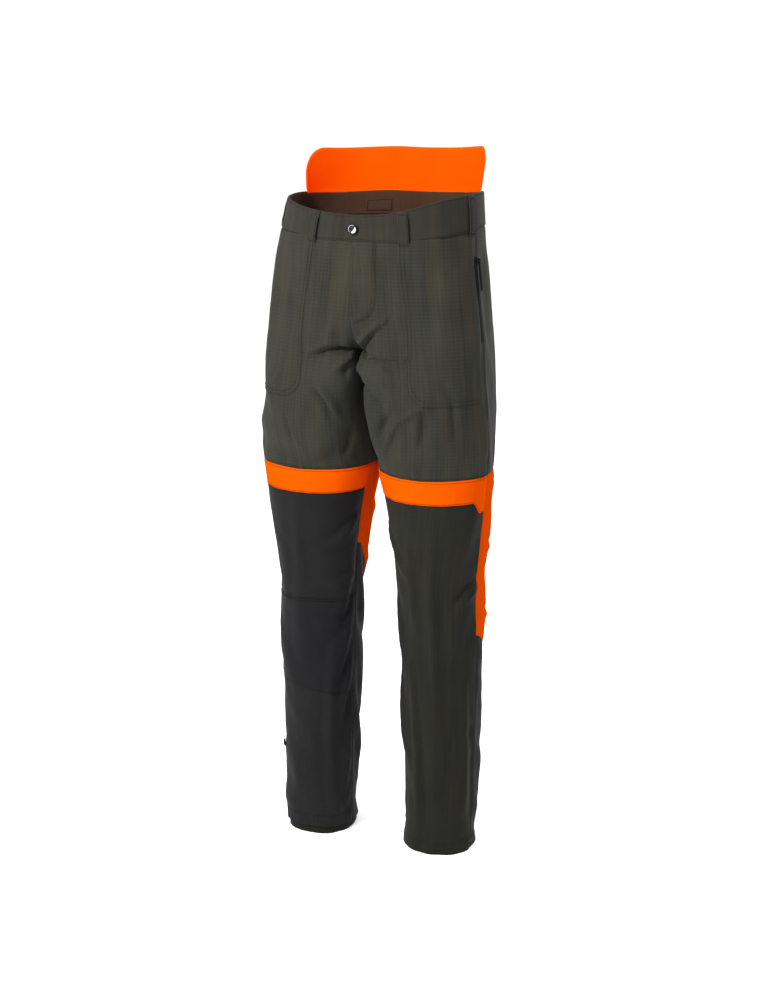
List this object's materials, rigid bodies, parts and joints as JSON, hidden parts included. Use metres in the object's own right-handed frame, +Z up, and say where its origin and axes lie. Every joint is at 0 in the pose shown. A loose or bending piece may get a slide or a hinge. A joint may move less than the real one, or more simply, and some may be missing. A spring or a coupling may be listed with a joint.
{
  "type": "chainsaw protective trousers",
  "caption": "Full-length cut-protective work trousers with padded leg fronts, orange leg bands, knee-back panels, a standing kidney flap, side-zip pockets and a shank-button fly.",
  "frame": {"origin": "centre of the waist opening, level with the waistband's top edge at the sides", "axes": "+Z up out of the waist, the front faces -Y, the wearer's left leg is on +X"},
  "size_m": [0.389, 0.2638, 1.1545],
  "materials": {
    "green_cloth": "matt dark green ribbed polyester-cotton weave",
    "black_cloth": "matt black stretch twill",
    "knee_cloth": "smooth blue-black reinforcement weave",
    "shin_cloth": "coarse black basket-weave nylon",
    "orange_cloth": "high-visibility orange knit",
    "lining_cloth": "dark brown brushed lining",
    "label_cloth": "blank woven patch with a dark red stitched edge",
    "cut_padding": "layered loose-fibre cut protection in a thin shell",
    "zip_tape": "black zip tape with coil teeth",
    "zip_metal": "dark plated zip hardware",
    "pull_tab": "black moulded puller",
    "button_metal": "nickel-plated ring button with a dark rim",
    "stud": "black press stud"
  },
  "bodies": {
    "seat": {"front_panel_left": "green_cloth", "front_panel_right": "green_cloth", "seat_panel_left": "green_cloth", "seat_panel_right": "green_cloth", "front_rise_left": "green_cloth", "front_rise_right": "green_cloth", "back_rise_left": "green_cloth", "back_rise_right": "green_cloth", "belt_loop_front_left": "green_cloth", "belt_loop_front_right": "green_cloth", "belt_loop_side_left": "green_cloth", "belt_loop_side_right": "green_cloth", "belt_loop_back_left": "green_cloth", "belt_loop_back_right": "green_cloth", "front_pocket_left": "green_cloth", "front_pocket_right": "green_cloth", "waistband_front_left": "green_cloth", "waistband_front_right": "green_cloth", "waistband_back": "green_cloth", "belt_loop_centre_back": "green_cloth", "fly_facing": "green_cloth", "fly_shield": "green_cloth", "back_pocket_right": "green_cloth", "back_pocket_flap_right": "green_cloth", "waistband_lining": "lining_cloth", "blank_label": "label_cloth", "fly_zip_left": "zip_tape", "fly_zip_right": "zip_tape", "side_zip_left": "zip_tape", "side_zip_right": "zip_tape", "button_tack": "button_metal"},
    "kidney_flap": {"kidney_flap": "orange_cloth"},
    "waist_button": {"waist_button": "button_metal"},
    "fly_slider": {"fly_slider": "zip_metal", "fly_pull": "zip_metal"},
    "side_slider_left": {"side_slider_left": "zip_metal"},
    "side_slider_right": {"side_slider_right": "zip_metal"},
    "side_pull_left": {"side_pull_left": "pull_tab"},
    "side_pull_right": {"side_pull_right": "pull_tab"},
    "thigh_left": {"thigh_front_left": "green_cloth", "thigh_back_left": "green_cloth", "thigh_band_left": "orange_cloth", "cut_pad_thigh_left": "cut_padding", "knee_front_left": "green_cloth", "knee_back_left": "orange_cloth"},
    "thigh_right": {"thigh_front_right": "green_cloth", "thigh_back_right": "green_cloth", "thigh_band_right": "orange_cloth", "cut_pad_thigh_right": "cut_padding", "knee_front_right": "black_cloth", "knee_back_right": "orange_cloth"},
    "shin_left": {"shin_front_left": "green_cloth", "calf_back_left": "black_cloth", "cut_pad_shin_left": "cut_padding"},
    "shin_right": {"knee_patch_right": "knee_cloth", "shin_front_right": "shin_cloth", "calf_back_right": "black_cloth", "under_hem_right": "green_cloth", "cut_pad_shin_right": "cut_padding"},
    "hem_stud_right": {"hem_stud_right": "stud"}
  },
  "joints": [
    {"name": "hip_left", "type": "hinge", "parent": "seat", "child": "thigh_left", "pos_m": [0.095, -0.028, -0.25], "axis": [-1, 0, 0], "range_deg": [-10, 45], "deforming": ["front_rise_left", "back_rise_left", "front_pocket_left"]},
    {"name": "knee_left", "type": "hinge", "parent": "thigh_left", "child": "shin_left", "pos_m": [0.105, -0.022, -0.63], "axis": [1, 0, 0], "range_deg": [0, 75], "deforming": ["knee_front_left", "knee_back_left"]},
    {"name": "hip_right", "type": "hinge", "parent": "seat", "child": "thigh_right", "pos_m": [-0.095, -0.028, -0.25], "axis": [-1, 0, 0], "range_deg": [-10, 45], "deforming": ["front_rise_right", "back_rise_right", "front_pocket_right"]},
    {"name": "knee_right", "type": "hinge", "parent": "thigh_right", "child": "shin_right", "pos_m": [-0.105, -0.022, -0.63], "axis": [1, 0, 0], "range_deg": [0, 75], "deforming": ["knee_front_right", "knee_back_right"]},
    {"name": "kidney_flap_lean", "type": "hinge", "parent": "seat", "child": "kidney_flap", "pos_m": [0, 0.1165, -0.0154], "axis": [-1, 0, 0], "range_deg": [0, 35]},
    {"name": "waist_button_spin", "type": "hinge", "parent": "seat", "child": "waist_button", "pos_m": [0, -0.125, -0.0525], "axis": [0, 1, 0], "continuous": true},
    {"name": "fly_zip_slide", "type": "slide", "parent": "seat", "child": "fly_slider", "axis": [0, -0.078, -0.997], "range_m": [0, 0.08]},
    {"name": "side_zip_slide_left", "type": "slide", "parent": "seat", "child": "side_slider_left", "axis": [0.1357, -0.0807, -0.9875], "range_m": [0, 0.115]},
    {"name": "side_pull_swing_left", "type": "hinge", "parent": "side_slider_left", "child": "side_pull_left", "pos_m": [0.17464, -0.03439, -0.09937], "axis": [-0.1278, -0.9898, 0.0634], "range_deg": [0, 110]},
    {"name": "side_zip_slide_right", "type": "slide", "parent": "seat", "child": "side_slider_right", "axis": [-0.1357, -0.0807, -0.9875], "range_m": [0, 0.115]},
    {"name": "side_pull_swing_right", "type": "hinge", "parent": "side_slider_right", "child": "side_pull_right", "pos_m": [-0.17464, -0.03439, -0.09937], "axis": [-0.1278, 0.9898, -0.0634], "range_deg": [0, 110]},
    {"name": "hem_stud_pull", "type": "slide", "parent": "shin_right", "child": "hem_stud_right", "axis": [-0.9049, -0.4245, -0.0304], "range_m": [0, 0.004]}
  ]
}
